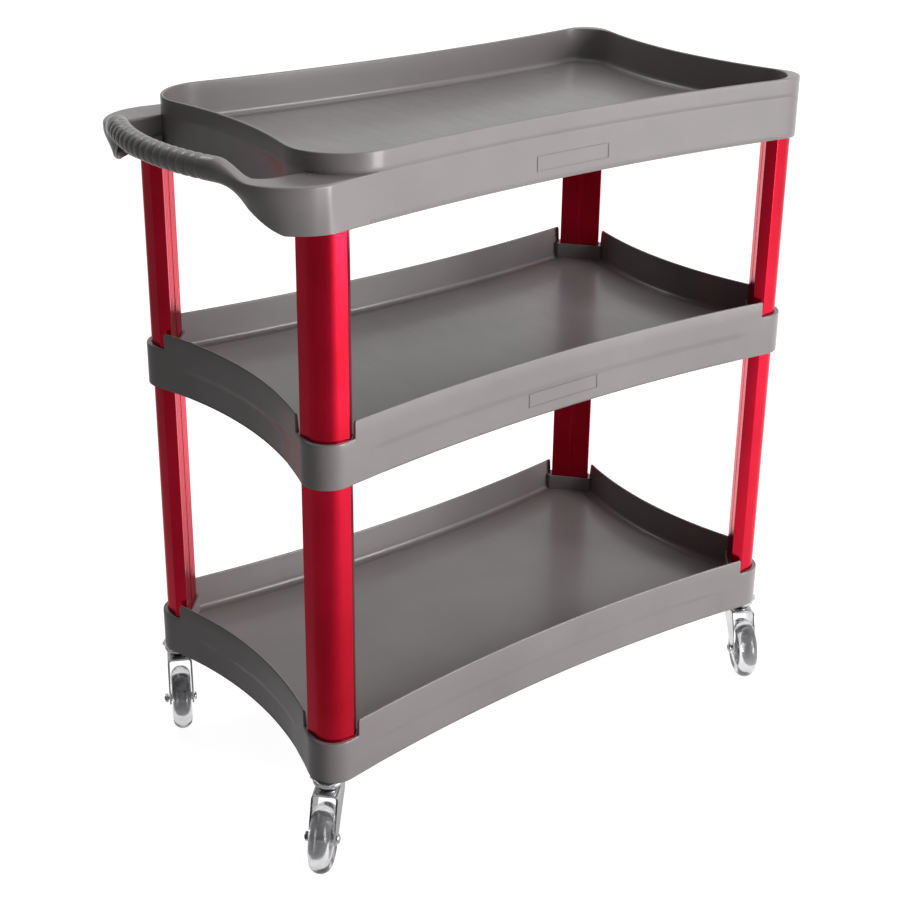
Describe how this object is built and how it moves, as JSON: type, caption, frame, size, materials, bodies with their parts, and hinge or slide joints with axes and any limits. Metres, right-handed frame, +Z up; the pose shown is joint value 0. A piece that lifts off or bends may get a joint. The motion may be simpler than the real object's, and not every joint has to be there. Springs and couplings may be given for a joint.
{
  "type": "rolling utility cart",
  "caption": "Rolling utility cart with three moulded trays on hollow corner posts, a ribbed push handle at one end and swivel casters.",
  "frame": {"origin": "on the floor, under the middle of the whole cart with its casters trailing as at rest", "axes": "+Z up, +X along the trays away from the push handle, which is at -X, and +Y across the trays to the back"},
  "size_m": [0.807, 0.4792, 0.829],
  "materials": {
    "tray_plastic": "satin warm grey moulded plastic",
    "anodised_post": "crimson anodised extrusion with fine lengthwise lines",
    "insert_plastic": "black moulded insert",
    "plated_steel": "bright zinc plated pressed steel",
    "wheel_tread": "clear grey translucent tread",
    "wheel_core": "pale translucent moulded wheel centre"
  },
  "bodies": {
    "frame": {"top_tray": "tray_plastic", "middle_tray": "tray_plastic", "bottom_tray": "tray_plastic", "lower_post_front_left": "anodised_post", "upper_post_front_left": "anodised_post", "caster_socket_front_left": "insert_plastic", "lower_post_plug_front_left": "insert_plastic", "upper_post_plug_front_left": "insert_plastic", "joining_stud_front_left": "plated_steel", "lower_post_front_right": "anodised_post", "upper_post_front_right": "anodised_post", "caster_socket_front_right": "insert_plastic", "lower_post_plug_front_right": "insert_plastic", "upper_post_plug_front_right": "insert_plastic", "joining_stud_front_right": "plated_steel", "lower_post_back_left": "anodised_post", "upper_post_back_left": "anodised_post", "caster_socket_back_left": "insert_plastic", "lower_post_plug_back_left": "insert_plastic", "upper_post_plug_back_left": "insert_plastic", "joining_stud_back_left": "plated_steel", "lower_post_back_right": "anodised_post", "upper_post_back_right": "anodised_post", "caster_socket_back_right": "insert_plastic", "lower_post_plug_back_right": "insert_plastic", "upper_post_plug_back_right": "insert_plastic", "joining_stud_back_right": "plated_steel", "caster_plate_front_left": "plated_steel", "caster_race_front_left": "plated_steel", "caster_plate_front_right": "plated_steel", "caster_race_front_right": "plated_steel", "caster_plate_back_left": "plated_steel", "caster_race_back_left": "plated_steel", "caster_plate_back_right": "plated_steel", "caster_race_back_right": "plated_steel"},
    "fork_front_left": {"caster_fork_front_left": "plated_steel", "axle_bolt_front_left": "plated_steel", "axle_nut_front_left": "plated_steel", "axle_sleeve_front_left": "plated_steel"},
    "wheel_front_left": {"wheel_core_front_left": "wheel_core", "wheel_tread_front_left": "wheel_tread"},
    "fork_front_right": {"caster_fork_front_right": "plated_steel", "axle_bolt_front_right": "plated_steel", "axle_nut_front_right": "plated_steel", "axle_sleeve_front_right": "plated_steel"},
    "wheel_front_right": {"wheel_core_front_right": "wheel_core", "wheel_tread_front_right": "wheel_tread"},
    "fork_back_left": {"caster_fork_back_left": "plated_steel", "axle_bolt_back_left": "plated_steel", "axle_nut_back_left": "plated_steel", "axle_sleeve_back_left": "plated_steel"},
    "wheel_back_left": {"wheel_core_back_left": "wheel_core", "wheel_tread_back_left": "wheel_tread"},
    "fork_back_right": {"caster_fork_back_right": "plated_steel", "axle_bolt_back_right": "plated_steel", "axle_nut_back_right": "plated_steel", "axle_sleeve_back_right": "plated_steel"},
    "wheel_back_right": {"wheel_core_back_right": "wheel_core", "wheel_tread_back_right": "wheel_tread"}
  },
  "joints": [
    {"name": "caster_swivel_front_left", "type": "hinge", "parent": "frame", "child": "fork_front_left", "pos_m": [-0.30031, -0.17655, 0.1], "axis": [0, 0, 1], "continuous": true},
    {"name": "wheel_spin_front_left", "type": "hinge", "parent": "fork_front_left", "child": "wheel_front_left", "pos_m": [-0.32294, -0.19918, 0.04], "axis": [0.7071, -0.7071, 0], "continuous": true},
    {"name": "caster_swivel_front_right", "type": "hinge", "parent": "frame", "child": "fork_front_right", "pos_m": [0.37923, -0.17655, 0.1], "axis": [0, 0, 1], "continuous": true},
    {"name": "wheel_spin_front_right", "type": "hinge", "parent": "fork_front_right", "child": "wheel_front_right", "pos_m": [0.36227, -0.20369, 0.04], "axis": [0.848, -0.5299, 0], "continuous": true},
    {"name": "caster_swivel_back_left", "type": "hinge", "parent": "frame", "child": "fork_back_left", "pos_m": [-0.30031, 0.17655, 0.1], "axis": [0, 0, 1], "continuous": true},
    {"name": "wheel_spin_back_left", "type": "hinge", "parent": "fork_back_left", "child": "wheel_back_left", "pos_m": [-0.31484, 0.14804, 0.04], "axis": [0.891, -0.454, 0], "continuous": true},
    {"name": "caster_swivel_back_right", "type": "hinge", "parent": "frame", "child": "fork_back_right", "pos_m": [0.37923, 0.17655, 0.1], "axis": [0, 0, 1], "continuous": true},
    {"name": "wheel_spin_back_right", "type": "hinge", "parent": "fork_back_right", "child": "wheel_back_right", "pos_m": [0.36227, 0.20369, 0.04], "axis": [-0.848, -0.5299, 0], "continuous": true}
  ]
}
